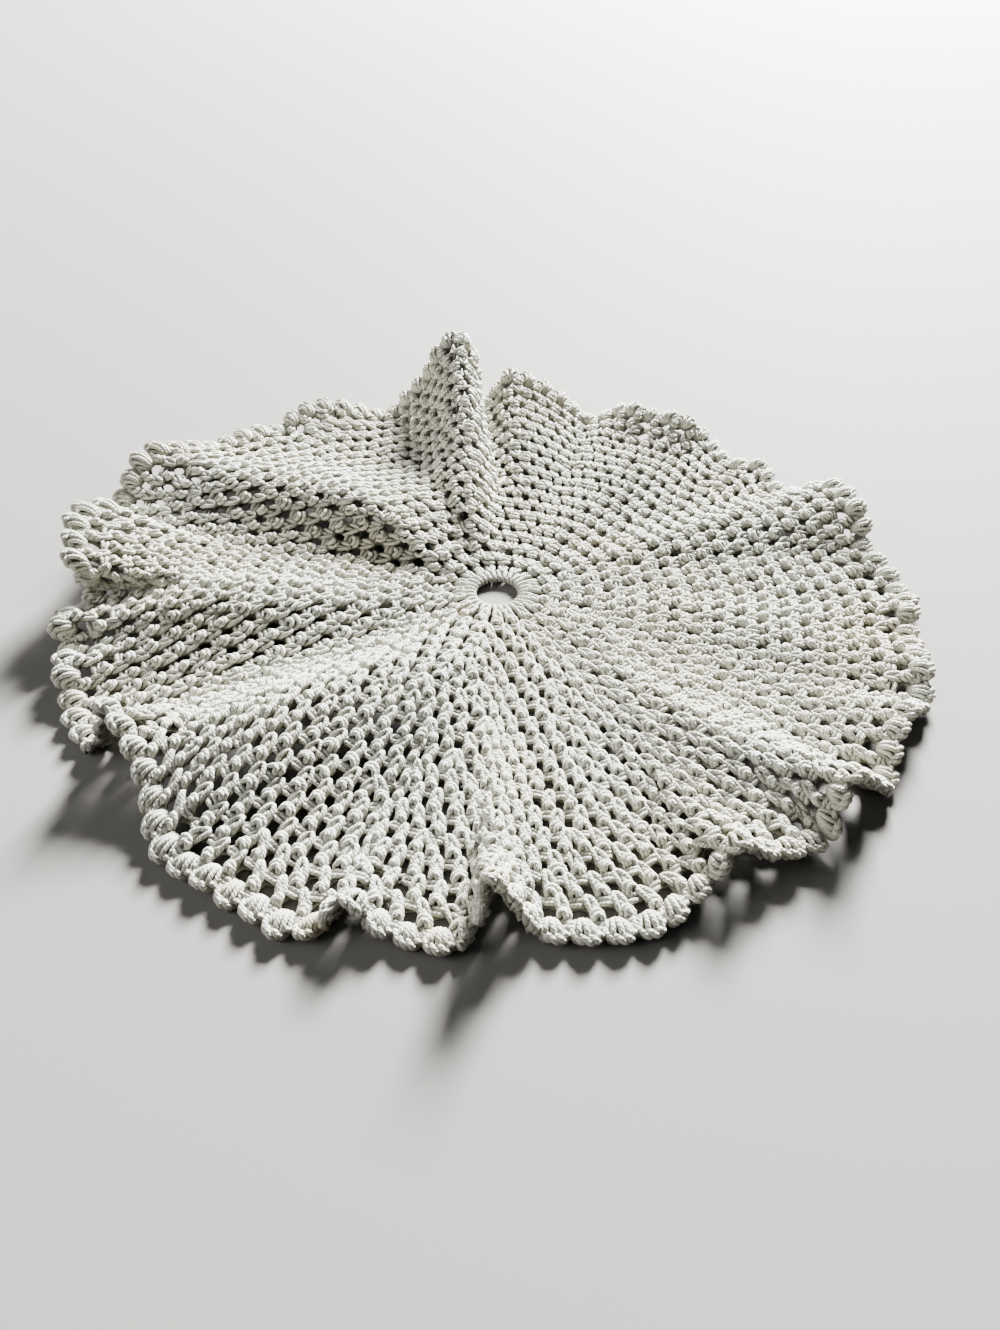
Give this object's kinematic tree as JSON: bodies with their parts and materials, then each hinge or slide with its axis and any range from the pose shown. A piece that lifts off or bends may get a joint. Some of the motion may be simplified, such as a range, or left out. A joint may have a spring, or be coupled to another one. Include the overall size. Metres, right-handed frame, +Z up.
{
  "type": "lace doily",
  "caption": "Round crocheted cotton doily with a centre hole and a scalloped shell edging, lying on a table with its rim in loose ruffles.",
  "frame": {"origin": "centre of the doily's bounding box, on the table it lies on; the centre hole is within 2 mm of it", "axes": "+Z up from the table, +Y towards the tall pleat at the rear rim, +X to the right"},
  "size_m": [0.2391, 0.237, 0.032],
  "materials": {
    "cotton_yarn": "matte"
  },
  "bodies": {
    "root": {"doily": "cotton_yarn"}
  },
  "joints": []
}
